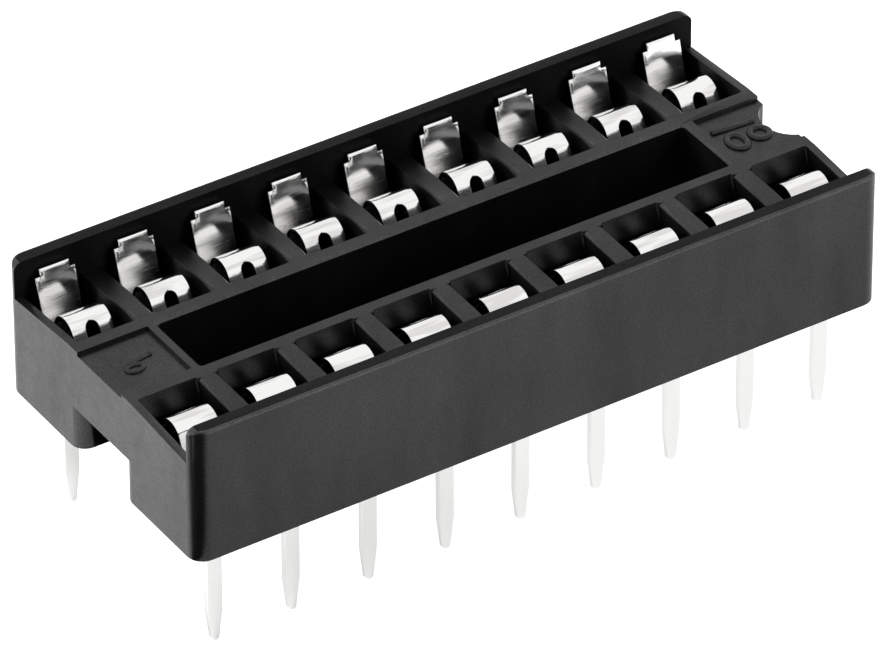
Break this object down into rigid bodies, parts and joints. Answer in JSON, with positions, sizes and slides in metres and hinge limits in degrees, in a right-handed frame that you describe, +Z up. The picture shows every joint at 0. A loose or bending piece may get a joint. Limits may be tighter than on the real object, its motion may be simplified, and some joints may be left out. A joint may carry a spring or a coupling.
{
  "type": "dip ic socket",
  "caption": "Through-hole socket for a dual in-line chip: an open-frame black housing with dual-leaf contacts in deep pockets and straight solder tails.",
  "frame": {"origin": "centre of the pin field, level with the tips of the solder tails", "axes": "+X along the rows towards the notched end, +Y across to the second row of contacts, +Z up out of the board"},
  "size_m": [0.0228, 0.01, 0.0082],
  "materials": {
    "housing_plastic": "black glass-filled polyester, as moulded, low sheen",
    "contact_tin": "phosphor bronze strip, bright tin plated"
  },
  "bodies": {
    "root": {"housing": "housing_plastic", "contact_1": "contact_tin", "contact_2": "contact_tin", "contact_3": "contact_tin", "contact_4": "contact_tin", "contact_5": "contact_tin", "contact_6": "contact_tin", "contact_7": "contact_tin", "contact_8": "contact_tin", "contact_9": "contact_tin", "contact_10": "contact_tin", "contact_11": "contact_tin", "contact_12": "contact_tin", "contact_13": "contact_tin", "contact_14": "contact_tin", "contact_15": "contact_tin", "contact_16": "contact_tin", "contact_17": "contact_tin", "contact_18": "contact_tin"}
  },
  "joints": []
}
